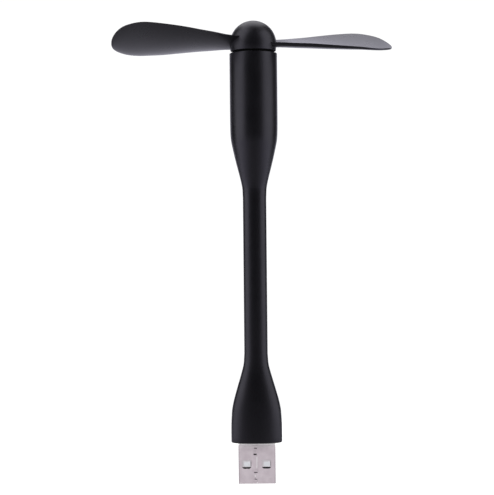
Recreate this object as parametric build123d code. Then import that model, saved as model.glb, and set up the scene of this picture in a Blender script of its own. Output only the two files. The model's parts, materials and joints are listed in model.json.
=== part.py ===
from build123d import *
import os
from math import cos, radians, sin

# A stick fan that plugs into a USB-A socket and stands up from it on a bendable silicone neck.
# Millimetres, +Z up. The origin is the centre of the plug's shoulder, the flat face that meets
# the socket: the plug points down and the propeller turns about +Z at the top.

# Fits
FIT = 0.02              # between pieces that are fixed together
RUNNING = 0.02          # radial clearance of the shaft in its bearings
LOOSE = 0.05            # round wires and sheet metal

# USB-A plug
SHELL_WIDTH = 12.0
SHELL_DEPTH = 4.5
SHELL_WALL = 0.3
SHELL_CORNER = 0.6
SHELL_TIP_Z = -13.1
SHELL_REAR_Z = 5.0
WINDOW_WIDTH = 2.5
WINDOW_HEIGHT = 2.2
WINDOW_X = 3.2
WINDOW_Z = SHELL_TIP_Z + 6.3
SEAM_WIDTH = 0.06
SEAM_NOTCH = (1.0, 0.3)
SEAM_NOTCH_Z = (-11.6, -9.4, -3.6, -1.7)
TONGUE_TIP_Z = SHELL_TIP_Z + 0.5
TONGUE_FACE_Y = -0.1
TONGUE_ROOT_Z = -1.0
CONTACT_WIDTH = 1.0
CONTACT_THICKNESS = 0.3
CONTACT_TAIL_Z = 7.5
CONTACTS = {                # place across the plug, and start behind the plug's tip
    "contact_power": (-3.5, 1.1),
    "contact_data_minus": (-1.0, 2.1),
    "contact_data_plus": (1.0, 2.1),
    "contact_ground": (3.5, 1.1),
}

# Silicone skin: flat front and back, round sides, and a round head
BASE_WIDTH = 16.2
BASE_DEPTH = 8.0
BASE_RIM = 1.0              # rounding of the bottom edge
BASE_STRAIGHT_Z = 5.7
FLARE_WIDTH = 15.75
FLARE_DEPTH = 7.8
FLARE_Z = 10.9
NECK_WIDTH = 7.35
NECK_DEPTH = 5.5
NECK_LOW_Z = 25.75
NECK_HIGH_Z = 82.4
NECK_JOINTS = 16
HEAD_RADIUS = 7.6
HEAD_CONE_Z = 98.5
HEAD_TOP_Z = 126.4
HEAD_EDGE = 0.35

# Hard core of the plug, and the chamber for the soldered ends
CORE_WIDTH = 13.6
CORE_DEPTH = 6.0
CORE_LOW_Z = 1.0
CORE_HIGH_Z = 13.0
CHAMBER_WIDTH = 10.4
CHAMBER_DEPTH = 4.2
CHAMBER_HIGH_Z = 12.6

# Two copper wires from the plug to the motor
WIRE_RADIUS = 0.6
WIRE_X = 1.7
WIRE_BEND = 2.5
WIRE_LOW_Z = 5.6
TAIL_BEND_Z = 8.4           # above the contacts' tails the wires turn in
NECK_ENTRY_Z = 12.2
NECK_EXIT_Z = 97.6
LEG_BEND_Z = 101.6          # below the brushes' legs the wires turn up
WIRE_HIGH_Z = 104.0
SOLDER_GAP = 0.2            # solder between a wire and what it is joined to
SOLDER_RADIUS = 1.15
PLUG_SOLDER_Y = 0.65
PLUG_SOLDER_Z = (6.0, 7.3)
MOTOR_SOLDER_Y = 1.35
MOTOR_SOLDER_Z = (102.6, 103.6)

# Motor
HOLDER_RADIUS = 6.4
HOLDER_WALL = 0.4
HOLDER_LOW_Z = 103.7
HOLDER_HIGH_Z = 124.8
HOLDER_LIP = 5.0
WIRE_ROOM_RADIUS = 5.2
WIRE_ROOM_LOW_Z = 96.5
CAP_HIGH_Z = 126.1
CAP_HOLE_RADIUS = 1.75
CAP_COLLAR = (5.3, 6.1, 127.5)      # inner radius, outer radius and top of the collar that stands in the hub
CAN_RADIUS = 5.95
CAN_WALL = 0.45
CAN_FRONT = 0.6
CAN_LOW_Z = 106.4
CAN_HIGH_Z = 122.4
MOTOR_LOW_Z = 104.7
SPIGOT_WALL = 1.2           # ring of the end cap that fits in the can
SPIGOT_DEPTH = 1.2
MAGNET_SPAN = 130.0
MAGNET_THICKNESS = 0.9
MAGNET_LOW_Z = 109.8
MAGNET_HIGH_Z = 119.0
SHAFT_RADIUS = 0.75
SHAFT_LOW_Z = 105.1
SHAFT_HIGH_Z = 132.8
BEARING_RADIUS = 1.55
FRONT_BEARING_Z = (120.6, 123.4)
FRONT_FLANGE_RADIUS = 2.5
REAR_BEARING_Z = (104.9, 106.9)
WASHER_RADIUS = 1.4
WASHERS_Z = ((107.1, 107.4), (119.9, 120.4))
POLES = 3
STACK_Z = (110.8, 118.0)
STACK_RADIUS = 4.15
STACK_HUB_RADIUS = 1.6
ARM_WIDTH = 1.2
SHOE_THICKNESS = 0.7
SHOE_GAP = 1.2
COIL_SPAN = (1.9, 3.2)      # from and to, out from the shaft's axis
COIL_WIDTH = 2.2
COIL_OVERHANG = 0.6
COMMUTATOR_RADIUS = 1.7
COMMUTATOR_LOW_Z = 107.6
COMMUTATOR_HIGH_Z = 109.4
COMMUTATOR_SLOT_WIDTH = 0.24
COMMUTATOR_SLOT_DEPTH = 0.4
BRUSH_THICKNESS = 0.2
BRUSH_Z = (107.9, 109.0)
BRUSH_TIP_X = 1.0
BRUSH_LEG_X = 3.7
BRUSH_LEG_WIDTH = 1.0
BRUSH_LEG_LOW_Z = 102.4

# Propeller
HUB_LOW_Z = 127.0
HUB_LOW_RADIUS = 7.4
DOME_RADIUS = 7.55
DOME_Z = 129.35
HUB_RECESS = (3.2, 6.5, 1.0)        # inner radius, outer radius and depth of the recess underneath
BUSH_RADIUS = 1.8
BUSH_LOW_Z = 127.3
BUSH_HIGH_Z = 133.2
REST_TURN = 7.1                     # the propeller's angle about +Z as it stands at rest
BLADE_LEAD = 1.2                    # how far the blade's middle line runs ahead of the radius
BLADE_STATIONS = [                  # radius, chord, thickness, pitch in degrees, height of the middle
    (4.0, 8.6, 1.7, 9.0, 129.6),
    (10.0, 11.4, 1.6, 10.5, 129.8),
    (20.0, 16.7, 1.3, 14.5, 130.3),
    (30.0, 20.2, 1.05, 17.5, 130.6),
    (36.0, 21.2, 0.9, 18.0, 130.45),
    (41.0, 18.0, 0.75, 18.0, 129.95),
    (44.3, 11.2, 0.6, 18.0, 129.3),
    (45.8, 3.2, 0.5, 18.0, 129.05),
]

SLICE_HEIGHT = (NECK_HIGH_Z - NECK_LOW_Z) / NECK_JOINTS
HINGE_Z = [NECK_LOW_Z + SLICE_HEIGHT * (i + 0.5) for i in range(NECK_JOINTS)]
SHELL_INNER_Y = SHELL_DEPTH / 2 - SHELL_WALL
SHELL_INNER_X = SHELL_WIDTH / 2 - SHELL_WALL
CAN_INNER = CAN_RADIUS - CAN_WALL
BRUSH_Y = COMMUTATOR_RADIUS + LOOSE
TAIL_WIRE_Y = TONGUE_FACE_Y + CONTACT_THICKNESS + SOLDER_GAP + WIRE_RADIUS
LEG_WIRE_Y = BRUSH_Y - SOLDER_GAP - WIRE_RADIUS


def block(x, y, z):
    """A block between two limits on each axis."""
    middle = Pos((x[0] + x[1]) / 2, (y[0] + y[1]) / 2, (z[0] + z[1]) / 2)
    return middle * Box(x[1] - x[0], y[1] - y[0], z[1] - z[0])


def rod(radius, low, high, x=0.0, y=0.0):
    """An upright round bar."""
    return Pos(x, y, (low + high) / 2) * Cylinder(radius, high - low)


def tube(outer, inner, low, high):
    """An upright round tube."""
    return rod(outer, low, high) - rod(inner, low, high)


def oval(width, depth, z):
    """The skin's outline at one height: flat front and back with round sides."""
    return Pos(0, 0, z) * SlotOverall(width, depth)


def oval_bar(width, depth, low, high):
    """An upright bar with the skin's outline."""
    return extrude(oval(width, depth, low), high - low)


def wire_holes(low, high):
    """The two channels that the copper wires run through."""
    radius = WIRE_RADIUS + LOOSE
    return rod(radius, low, high, -WIRE_X) + rod(radius, low, high, WIRE_X)


def half_turn(shape):
    """The same shape turned half a turn about the fan's axis."""
    return Rot(0, 0, 180) * shape


# The plug


def usb_shell():
    """Folded steel tube with two windows on each wide side and a seam down the front."""
    outer = extrude(Pos(0, 0, SHELL_TIP_Z) * RectangleRounded(SHELL_WIDTH, SHELL_DEPTH, SHELL_CORNER),
                    SHELL_REAR_Z - SHELL_TIP_Z)
    inner = extrude(Pos(0, 0, SHELL_TIP_Z) * RectangleRounded(
        2 * SHELL_INNER_X, 2 * SHELL_INNER_Y, SHELL_CORNER - SHELL_WALL), SHELL_REAR_Z - SHELL_TIP_Z)
    shell = outer - inner
    for x in (-WINDOW_X, WINDOW_X):
        shell -= Pos(x, 0, WINDOW_Z) * Box(WINDOW_WIDTH, 2 * SHELL_DEPTH, WINDOW_HEIGHT)
    front = (-SHELL_DEPTH, 0.0)
    half_seam = SEAM_WIDTH / 2
    shell -= block((-half_seam, half_seam), front, (SHELL_TIP_Z, SHELL_REAR_Z))
    notch_width, notch_height = SEAM_NOTCH
    for z in SEAM_NOTCH_Z:
        across = (-notch_width / 2, notch_width / 2)
        shell -= block(across, front, (z - notch_height / 2, z + notch_height / 2))
    return shell


def contact_strip(x, setback, clearance=0.0):
    """One flat contact from the tongue's tip to its soldered tail."""
    half = CONTACT_WIDTH / 2 + clearance
    y = (TONGUE_FACE_Y - clearance, TONGUE_FACE_Y + CONTACT_THICKNESS + clearance)
    return block((x - half, x + half), y, (SHELL_TIP_Z + setback, CONTACT_TAIL_Z))


def usb_insulator():
    """White tongue against the front of the shell, on a block that fills the shell's rear."""
    x = (-SHELL_INNER_X + FIT, SHELL_INNER_X - FIT)
    front = -SHELL_INNER_Y + FIT
    tongue = block(x, (front, TONGUE_FACE_Y), (TONGUE_TIP_Z, TONGUE_ROOT_Z))
    rear = block(x, (front, -front), (TONGUE_ROOT_Z, SHELL_REAR_Z))
    body = fillet((tongue + rear).edges().filter_by(Axis.Z).group_by(Axis.X)[0], SHELL_CORNER - SHELL_WALL)
    body = fillet(body.edges().filter_by(Axis.Z).group_by(Axis.X)[-1], SHELL_CORNER - SHELL_WALL)
    for place, setback in CONTACTS.values():
        strip = contact_strip(place, setback, FIT)
        body -= strip & block((-SHELL_WIDTH, SHELL_WIDTH), (-SHELL_DEPTH, SHELL_DEPTH),
                              (TONGUE_ROOT_Z, SHELL_REAR_Z))
        body -= strip & block((-SHELL_WIDTH, SHELL_WIDTH), (-SHELL_DEPTH, TONGUE_FACE_Y),
                              (SHELL_TIP_Z, TONGUE_ROOT_Z))
    return body


def plug_core():
    """Hard moulding round the shell's rear end, with a chamber for the soldered ends."""
    core = oval_bar(CORE_WIDTH, CORE_DEPTH, CORE_LOW_Z, CORE_HIGH_Z)
    core -= Pos(0, 0, (CORE_LOW_Z + SHELL_REAR_Z) / 2) * Box(
        SHELL_WIDTH + 2 * FIT, SHELL_DEPTH + 2 * FIT, SHELL_REAR_Z - CORE_LOW_Z)
    core -= oval_bar(CHAMBER_WIDTH, CHAMBER_DEPTH, SHELL_REAR_Z, CHAMBER_HIGH_Z)
    return core - wire_holes(CHAMBER_HIGH_Z, CORE_HIGH_Z)


def core_wire(side):
    """One copper wire: side -1 goes to the power contact, side 1 to the ground contact."""
    tail_x = CONTACTS["contact_ground"][0]
    points = [
        (side * tail_x, TAIL_WIRE_Y, WIRE_LOW_Z),
        (side * tail_x, TAIL_WIRE_Y, TAIL_BEND_Z),
        (side * WIRE_X, 0.0, NECK_ENTRY_Z),
        (side * WIRE_X, 0.0, NECK_EXIT_Z),
        (side * BRUSH_LEG_X, -side * LEG_WIRE_Y, LEG_BEND_Z),
        (side * BRUSH_LEG_X, -side * LEG_WIRE_Y, WIRE_HIGH_Z),
    ]
    path = FilletPolyline(*points, radius=WIRE_BEND)
    return sweep(Plane(origin=path @ 0, z_dir=path % 0) * Circle(WIRE_RADIUS), path)


def plug_solder():
    """Solder that joins each wire to its contact's tail."""
    joints = []
    for name in ("contact_power", "contact_ground"):
        place, setback = CONTACTS[name]
        joint = rod(SOLDER_RADIUS, *PLUG_SOLDER_Z, place, PLUG_SOLDER_Y)
        joint -= rod(WIRE_RADIUS + FIT, *PLUG_SOLDER_Z, place, TAIL_WIRE_Y)
        joints.append(joint - contact_strip(place, setback, FIT))
    return Compound(children=joints)


# The silicone skin


def base_sleeve():
    """Grip: straight above the shoulder, then flaring in to the neck."""
    grip = oval_bar(BASE_WIDTH, BASE_DEPTH, 0, BASE_STRAIGHT_Z)
    grip = fillet(grip.edges().group_by(Axis.Z)[0], BASE_RIM)
    grip += loft([oval(BASE_WIDTH, BASE_DEPTH, BASE_STRAIGHT_Z), oval(FLARE_WIDTH, FLARE_DEPTH, FLARE_Z)])
    grip += loft([oval(FLARE_WIDTH, FLARE_DEPTH, FLARE_Z), oval(NECK_WIDTH, NECK_DEPTH, NECK_LOW_Z)])
    grip += oval_bar(NECK_WIDTH, NECK_DEPTH, NECK_LOW_Z, HINGE_Z[0])
    mouth = RectangleRounded(SHELL_WIDTH + 2 * LOOSE, SHELL_DEPTH + 2 * LOOSE, SHELL_CORNER)
    grip -= extrude(mouth, CORE_LOW_Z)
    grip -= oval_bar(CORE_WIDTH + 2 * FIT, CORE_DEPTH + 2 * FIT, CORE_LOW_Z - FIT, CORE_HIGH_Z + FIT)
    return grip - wire_holes(CORE_HIGH_Z, HINGE_Z[0])


def neck_slice(number):
    """One slice of the bendable neck, between two hinges."""
    low, high = HINGE_Z[number - 1], HINGE_Z[number]
    return oval_bar(NECK_WIDTH, NECK_DEPTH, low, high) - wire_holes(low, high)


def head_sleeve():
    """Head: the neck widens to a round cup for the motor."""
    cup = rod(HEAD_RADIUS, HEAD_CONE_Z, HEAD_TOP_Z)
    cup = fillet(cup.edges().group_by(Axis.Z)[-1], HEAD_EDGE)
    cup += loft([oval(NECK_WIDTH, NECK_DEPTH, NECK_HIGH_Z), Pos(0, 0, HEAD_CONE_Z) * Circle(HEAD_RADIUS)])
    cup += oval_bar(NECK_WIDTH, NECK_DEPTH, HINGE_Z[-1], NECK_HIGH_Z)
    cup -= rod(HOLDER_RADIUS + FIT, HOLDER_LOW_Z - FIT, HEAD_TOP_Z)
    cup -= rod(WIRE_ROOM_RADIUS, WIRE_ROOM_LOW_Z, HOLDER_LOW_Z)
    return cup - wire_holes(HINGE_Z[-1], WIRE_ROOM_LOW_Z)


# The motor


def motor_holder():
    """Hard tube that lines the head, with a lip under the motor."""
    lip = tube(HOLDER_RADIUS, HOLDER_LIP, HOLDER_LOW_Z, MOTOR_LOW_Z - FIT)
    return lip + tube(HOLDER_RADIUS, HOLDER_RADIUS - HOLDER_WALL, HOLDER_LOW_Z, HOLDER_HIGH_Z)


def motor_cap():
    """Ring that closes the head round the shaft, with a collar that keeps dust and hair out of the hub."""
    ring = tube(HOLDER_RADIUS, CAP_HOLE_RADIUS, HOLDER_HIGH_Z + LOOSE, CAP_HIGH_Z)
    inner, outer, top = CAP_COLLAR
    return ring + tube(outer, inner, CAP_HIGH_Z, top)


def motor_can():
    """Drawn steel cup with a hole for the front bearing."""
    can = tube(CAN_RADIUS, CAN_INNER, CAN_LOW_Z, CAN_HIGH_Z)
    front = tube(CAN_RADIUS, BEARING_RADIUS + FIT, CAN_HIGH_Z - CAN_FRONT, CAN_HIGH_Z)
    return can + front


def motor_magnets():
    """Two arc magnets against the can's wall."""
    outer = CAN_INNER - FIT
    ring = tube(outer, outer - MAGNET_THICKNESS, MAGNET_LOW_Z, MAGNET_HIGH_Z)
    gap = (180 - MAGNET_SPAN) / 2
    reach = 2 * CAN_RADIUS
    edge = (reach * cos(radians(gap)), reach * sin(radians(gap)))
    sector = make_face(Polyline((0, 0), edge, (0, 2 * reach), (-edge[0], edge[1]), (0, 0)))
    wedge = extrude(Pos(0, 0, MAGNET_LOW_Z) * sector, MAGNET_HIGH_Z - MAGNET_LOW_Z)
    arc = ring & wedge
    return Compound(children=[arc, half_turn(arc)])


def bearing(low, high, flange_top=None):
    """Sintered bush with a running bore, and a flange at its low end if flange_top is given."""
    bush = rod(BEARING_RADIUS, low, high)
    if flange_top:
        bush += rod(FRONT_FLANGE_RADIUS, low, flange_top)
    return bush - rod(SHAFT_RADIUS + RUNNING, low, high)


def motor_end_cap():
    """Moulded cap that closes the can and carries the brushes and the rear bearing."""
    cap = rod(CAN_RADIUS - LOOSE, MOTOR_LOW_Z, CAN_LOW_Z - FIT)
    cap += tube(CAN_INNER - LOOSE, CAN_INNER - SPIGOT_WALL, MOTOR_LOW_Z, CAN_LOW_Z + SPIGOT_DEPTH)
    cap -= rod(BEARING_RADIUS + FIT, MOTOR_LOW_Z, CAN_LOW_Z)
    leg = brush(LOOSE)
    return cap - leg - half_turn(leg)


def brush(grow=0.0):
    """Spring leaf that bears on the commutator, with its soldering leg through the end cap."""
    y = (BRUSH_Y - grow, BRUSH_Y + BRUSH_THICKNESS + grow)
    half = BRUSH_LEG_WIDTH / 2 + grow
    leg_x = (-BRUSH_LEG_X - half, -BRUSH_LEG_X + half)
    low, high = BRUSH_Z
    arm = block((leg_x[0], BRUSH_TIP_X + grow), y, (low - grow, high + grow))
    return arm + block(leg_x, y, (BRUSH_LEG_LOW_Z, high + grow))


def motor_solder():
    """Solder that joins each wire to its brush's leg."""
    joint = rod(SOLDER_RADIUS, *MOTOR_SOLDER_Z, -BRUSH_LEG_X, MOTOR_SOLDER_Y)
    joint -= rod(WIRE_RADIUS + LOOSE, *MOTOR_SOLDER_Z, -BRUSH_LEG_X, LEG_WIRE_Y)
    joint -= brush(FIT)
    return Compound(children=[joint, half_turn(joint)])


def motor_shaft():
    """Steel shaft from the rear bearing up into the hub."""
    return rod(SHAFT_RADIUS, SHAFT_LOW_Z, SHAFT_HIGH_Z)


def shaft_sleeve(radius, low, high):
    """A ring pressed on the shaft."""
    return tube(radius, SHAFT_RADIUS + FIT / 2, low, high)


def pole_turn(step):
    """Turn about the shaft to a pole, or to a gap between poles at a half step."""
    return Rot(0, 0, 360 / POLES * step)


def rotor_core():
    """Laminated core with three arms and curved pole shoes."""
    core = shaft_sleeve(STACK_HUB_RADIUS, *STACK_Z)
    shoes = tube(STACK_RADIUS, STACK_RADIUS - SHOE_THICKNESS, *STACK_Z)
    reach = (STACK_HUB_RADIUS - LOOSE, STACK_RADIUS - SHOE_THICKNESS / 2)
    arm = block(reach, (-ARM_WIDTH / 2, ARM_WIDTH / 2), STACK_Z)
    gap = block((0, 2 * STACK_RADIUS), (-SHOE_GAP / 2, SHOE_GAP / 2), STACK_Z)
    for pole in range(POLES):
        core += pole_turn(pole) * arm
        shoes -= pole_turn(pole + 0.5) * gap
    return core + shoes


def rotor_windings():
    """A coil round each arm of the core."""
    low, high = STACK_Z
    coil = block(COIL_SPAN, (-COIL_WIDTH / 2, COIL_WIDTH / 2), (low - COIL_OVERHANG, high + COIL_OVERHANG))
    half_arm = ARM_WIDTH / 2 + FIT
    coil -= block((0, STACK_RADIUS), (-half_arm, half_arm), (low - FIT, high + FIT))
    return Compound(children=[pole_turn(pole) * coil for pole in range(POLES)])


def commutator():
    """Copper drum with three slots between its segments."""
    height = (COMMUTATOR_LOW_Z, COMMUTATOR_HIGH_Z)
    drum = shaft_sleeve(COMMUTATOR_RADIUS, *height)
    half_slot = COMMUTATOR_SLOT_WIDTH / 2
    depth = (COMMUTATOR_RADIUS - COMMUTATOR_SLOT_DEPTH, 2 * COMMUTATOR_RADIUS)
    slot = block(depth, (-half_slot, half_slot), height)
    for pole in range(POLES):
        drum -= pole_turn(pole + 0.5) * slot
    return drum


def shaft_washers():
    """Nylon washers that take up the shaft's end play."""
    return Compound(children=[shaft_sleeve(WASHER_RADIUS, *height) for height in WASHERS_Z])


# The propeller


def blade():
    """A paddle-shaped blade along +X whose pitch grows towards its drooping tip."""
    sections = []
    for radius, chord, thickness, pitch, height in BLADE_STATIONS:
        across = (0, cos(radians(pitch)), sin(radians(pitch)))
        station = Plane(origin=(radius, BLADE_LEAD, height), x_dir=across, z_dir=(1, 0, 0))
        sections.append(station * SlotOverall(chord, thickness))
    return loft(sections)


def propeller():
    """Dome hub and two blades in one moulding, bored for its bush and recessed underneath."""
    skirt = Pos(0, 0, (HUB_LOW_Z + DOME_Z) / 2) * Cone(HUB_LOW_RADIUS, DOME_RADIUS, DOME_Z - HUB_LOW_Z)
    dome = Pos(0, 0, DOME_Z) * Sphere(DOME_RADIUS)
    dome -= rod(2 * DOME_RADIUS, DOME_Z - 2 * DOME_RADIUS, DOME_Z)
    one = blade()
    body = skirt + dome + one + half_turn(one)
    inner, outer, depth = HUB_RECESS
    body -= tube(outer, inner, HUB_LOW_Z, HUB_LOW_Z + depth)
    body -= rod(BUSH_RADIUS + FIT / 2, HUB_LOW_Z, BUSH_HIGH_Z + LOOSE)
    return Rot(0, 0, REST_TURN) * body


def all_nodes():
    """Every piece by name."""
    nodes = {
        "usb_shell": usb_shell(),
        "usb_insulator": usb_insulator(),
        "plug_core": plug_core(),
        "plug_solder": plug_solder(),
        "core_wire_positive": core_wire(-1),
        "core_wire_negative": core_wire(1),
        "base_sleeve": base_sleeve(),
        "head_sleeve": head_sleeve(),
        "motor_holder": motor_holder(),
        "motor_cap": motor_cap(),
        "motor_can": motor_can(),
        "motor_magnets": motor_magnets(),
        "motor_end_cap": motor_end_cap(),
        "motor_solder": motor_solder(),
        "front_bearing": bearing(*FRONT_BEARING_Z, CAN_HIGH_Z - CAN_FRONT - FIT),
        "rear_bearing": bearing(*REAR_BEARING_Z),
        "brush_positive": brush(),
        "brush_negative": half_turn(brush()),
        "motor_shaft": motor_shaft(),
        "rotor_core": rotor_core(),
        "rotor_windings": rotor_windings(),
        "commutator": commutator(),
        "shaft_washers": shaft_washers(),
        "hub_bush": shaft_sleeve(BUSH_RADIUS, BUSH_LOW_Z, BUSH_HIGH_Z),
        "propeller": propeller(),
    }
    for name, (place, setback) in CONTACTS.items():
        nodes[name] = contact_strip(place, setback)
    for number in range(1, NECK_JOINTS):
        nodes[f"neck_slice_{number:02d}"] = neck_slice(number)
    return nodes


os.makedirs("parts", exist_ok=True)
for node, shape in all_nodes().items():
    export_step(shape, f"parts/{node}.step")
print("hinges at", [round(z, 3) for z in HINGE_Z])
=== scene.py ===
# %% [markdown]
# A small fan on a bendable stick, which plugs into a USB socket and stands up from it.
# The imported model brings the pieces, their sizes and their joints. This lesson adds what the eye sees: one
# smooth silicone skin, a soft propeller, a satin plug, and a procedural finish for every piece.

# %% Load the frame
import json
import math

import bmesh
import bpy
from mathutils import Matrix, Vector

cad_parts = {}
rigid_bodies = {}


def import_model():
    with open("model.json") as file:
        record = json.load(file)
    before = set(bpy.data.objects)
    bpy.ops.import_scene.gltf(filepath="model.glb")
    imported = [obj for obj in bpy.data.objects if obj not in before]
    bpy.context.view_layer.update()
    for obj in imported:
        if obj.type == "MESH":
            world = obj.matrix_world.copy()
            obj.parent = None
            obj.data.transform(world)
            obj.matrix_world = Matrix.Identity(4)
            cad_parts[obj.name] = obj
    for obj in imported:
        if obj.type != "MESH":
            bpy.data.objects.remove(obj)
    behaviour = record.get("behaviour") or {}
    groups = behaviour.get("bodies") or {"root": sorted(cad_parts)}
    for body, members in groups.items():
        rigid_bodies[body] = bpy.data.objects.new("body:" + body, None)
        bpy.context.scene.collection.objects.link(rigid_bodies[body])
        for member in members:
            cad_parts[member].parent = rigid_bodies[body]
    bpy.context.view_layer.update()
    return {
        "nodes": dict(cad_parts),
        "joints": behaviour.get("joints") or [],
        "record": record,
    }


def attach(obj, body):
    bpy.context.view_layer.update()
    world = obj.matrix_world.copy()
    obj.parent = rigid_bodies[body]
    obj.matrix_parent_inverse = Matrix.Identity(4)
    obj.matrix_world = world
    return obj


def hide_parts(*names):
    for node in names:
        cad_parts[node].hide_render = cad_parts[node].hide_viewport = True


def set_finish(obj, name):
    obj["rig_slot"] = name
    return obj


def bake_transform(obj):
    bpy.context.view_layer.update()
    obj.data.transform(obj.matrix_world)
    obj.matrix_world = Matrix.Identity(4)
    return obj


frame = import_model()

MM = 0.001


nodes = frame["nodes"]

# %% [markdown]
# The photo was taken level, from half a metre away, with a long lens: the gap under the hub curves
# upwards and the plug's tip is seen from a little above. The camera could be fitted by eye, but a real
# size fixes it better: the plug is 12 mm wide and 37 pixels across. A camera this long has almost no
# perspective, and the stick leans half a degree in the picture, so the camera rolls by as much.

# %% Camera
PHOTO_WIDTH = 494  # pixels
FOCAL_PIXELS = 1550
SENSOR_WIDTH = 36.0
CAMERA_PLACE = (-2.6 * MM, -503.3 * MM, 63.3 * MM)
CAMERA_ROLL = math.radians(0.54)

camera = bpy.data.objects.new("photo_camera", bpy.data.cameras.new("photo_camera"))
bpy.context.scene.collection.objects.link(camera)
camera.data.sensor_fit = "HORIZONTAL"
camera.data.sensor_width = SENSOR_WIDTH
camera.data.lens = SENSOR_WIDTH * FOCAL_PIXELS / PHOTO_WIDTH
level_view = Matrix.Rotation(math.pi / 2, 4, "X")
roll = Matrix.Rotation(CAMERA_ROLL, 4, "Y")
camera.matrix_world = Matrix.Translation(CAMERA_PLACE) @ roll @ level_view
bpy.context.scene.camera = camera
print("lens:", round(camera.data.lens, 1), "mm")

# %% [markdown]
# The world, the floor and every finish are made of shader nodes. By hand they are added and joined in
# the shader editor. Here a few helpers do the same, so that a finish reads like a list of what it is
# made of: one adds a node, and the others do a sum, stretch a range, take a vector apart, mix two
# colours and find the rays that come from mirrors.

# %% Shader nodes
MIX_COLOURS = (6, 7)  # places of a Mix node's two colours among its inputs
MIX_RESULT = 2


def add_node(tree, kind, links=None, **values):
    """A node with its settings, its input values by name, and its input links by name."""
    node = tree.nodes.new(kind)
    for name, value in values.items():
        if hasattr(node, name):
            setattr(node, name, value)
        else:
            node.inputs[name].default_value = value
    for name, socket in (links or {}).items():
        tree.links.new(socket, node.inputs[name])
    return node


def math_node(tree, operation, first, second=0):
    """One sum: each side is a socket or a number."""
    node = add_node(tree, "ShaderNodeMath", operation=operation)
    for place, value in enumerate((first, second)):
        if isinstance(value, (int, float)):
            node.inputs[place].default_value = value
        else:
            tree.links.new(value, node.inputs[place])
    return node.outputs[0]


def stretch(tree, value, old, new):
    """A value's range stretched on to another range, softly at both ends."""
    node = add_node(tree, "ShaderNodeMapRange", {"Value": value}, interpolation_type="SMOOTHSTEP")
    for place, number in enumerate((*old, *new), start=1):
        node.inputs[place].default_value = number
    return node.outputs[0]


def split(tree, vector):
    """The X, Y and Z of a vector."""
    return add_node(tree, "ShaderNodeSeparateXYZ", {"Vector": vector}).outputs


def mix_colours(tree, share, first, second):
    """A colour between two others, each a socket or a plain colour."""
    node = add_node(tree, "ShaderNodeMix", {0: share}, data_type="RGBA")
    for place, colour in zip(MIX_COLOURS, (first, second)):
        if isinstance(colour, tuple):
            node.inputs[place].default_value = (*colour, 1)
        else:
            tree.links.new(colour, node.inputs[place])
    return node.outputs[MIX_RESULT]


def mirror_rays(tree, rays):
    """One for a ray that comes from a gloss or through something clear, and nought for any other."""
    return math_node(tree, "MAXIMUM", rays["Is Glossy Ray"], rays["Is Transmission Ray"])


# %% [markdown]
# The light is a white studio: soft boxes at the left, the right and overhead, a pale backdrop, and a
# dark side where the photographer stands. Black silicone shows little but reflections, so that dark
# side is what draws the dark stripe down the middle of the stick. A lit room could be modelled, but a
# world that knows which rays ask for it is simpler. It is white to the camera, and mirrors see the same
# white backdrop, fading to dark towards the front. The light on matt surfaces is an even white.

# %% World
AMBIENT = 1.0
CAMERA_WHITE = 1.05  # a little past white, so that smoothing leaves no grey in the picture
BACKDROP_MIRRORED = 1.1
FRONT_MIRRORED = 0.005
BACKDROP_EDGE = (0.70, 1.0)  # backward part of a direction at the backdrop's edge, and at its middle
PLAIN_WHITE = (1, 1, 1)
MIRROR_TINT = (0.96, 0.945, 1.1)

world = bpy.data.worlds.new("white_studio")
bpy.context.scene.world = world
world.use_nodes = True
tree = world.node_tree
tree.nodes.clear()
rays = add_node(tree, "ShaderNodeLightPath").outputs
direction = add_node(tree, "ShaderNodeTexCoord").outputs["Generated"]
mirrored = stretch(tree, split(tree, direction)["Y"], BACKDROP_EDGE, (FRONT_MIRRORED, BACKDROP_MIRRORED))
in_mirrors = mirror_rays(tree, rays)
change = math_node(tree, "MULTIPLY", in_mirrors, math_node(tree, "SUBTRACT", mirrored, AMBIENT))
strength = math_node(tree, "ADD", change, AMBIENT)
to_white = math_node(tree, "SUBTRACT", CAMERA_WHITE, strength)
total = math_node(tree, "ADD", strength, math_node(tree, "MULTIPLY", rays["Is Camera Ray"], to_white))
tint = mix_colours(tree, in_mirrors, PLAIN_WHITE, MIRROR_TINT)
background = add_node(tree, "ShaderNodeBackground", {"Strength": total, "Color": tint})
add_node(tree, "ShaderNodeOutputWorld", {"Surface": background.outputs[0]})
bpy.context.scene.view_settings.view_transform = "Standard"
print("world nodes:", len(tree.nodes))

# %% [markdown]
# A soft box is an area lamp, and what a mirror sees of it is its brightness: power over pi and its
# area. All three have a brightness near that of the white backdrop, so colours come out about as they
# are written. The side boxes stand a little forward of square, where they draw the two pale stripes
# down the stick. The top box leans in from behind, for the pale crown of the dome and the upper face of
# the blades.

# %% Soft boxes
SOFT_BOXES = {  # name: azimuth from the front, elevation, distance, width, height (m), brightness
    "left_box": (-75, 23, 0.60, 0.62, 1.35, 1.15),
    "right_box": (75, 14, 0.60, 0.62, 1.15, 1.05),
    "top_box": (184, 64, 0.70, 0.60, 0.60, 1.5),
}
LIGHT_CENTRE = Vector((0, 0, 70 * MM))


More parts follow.
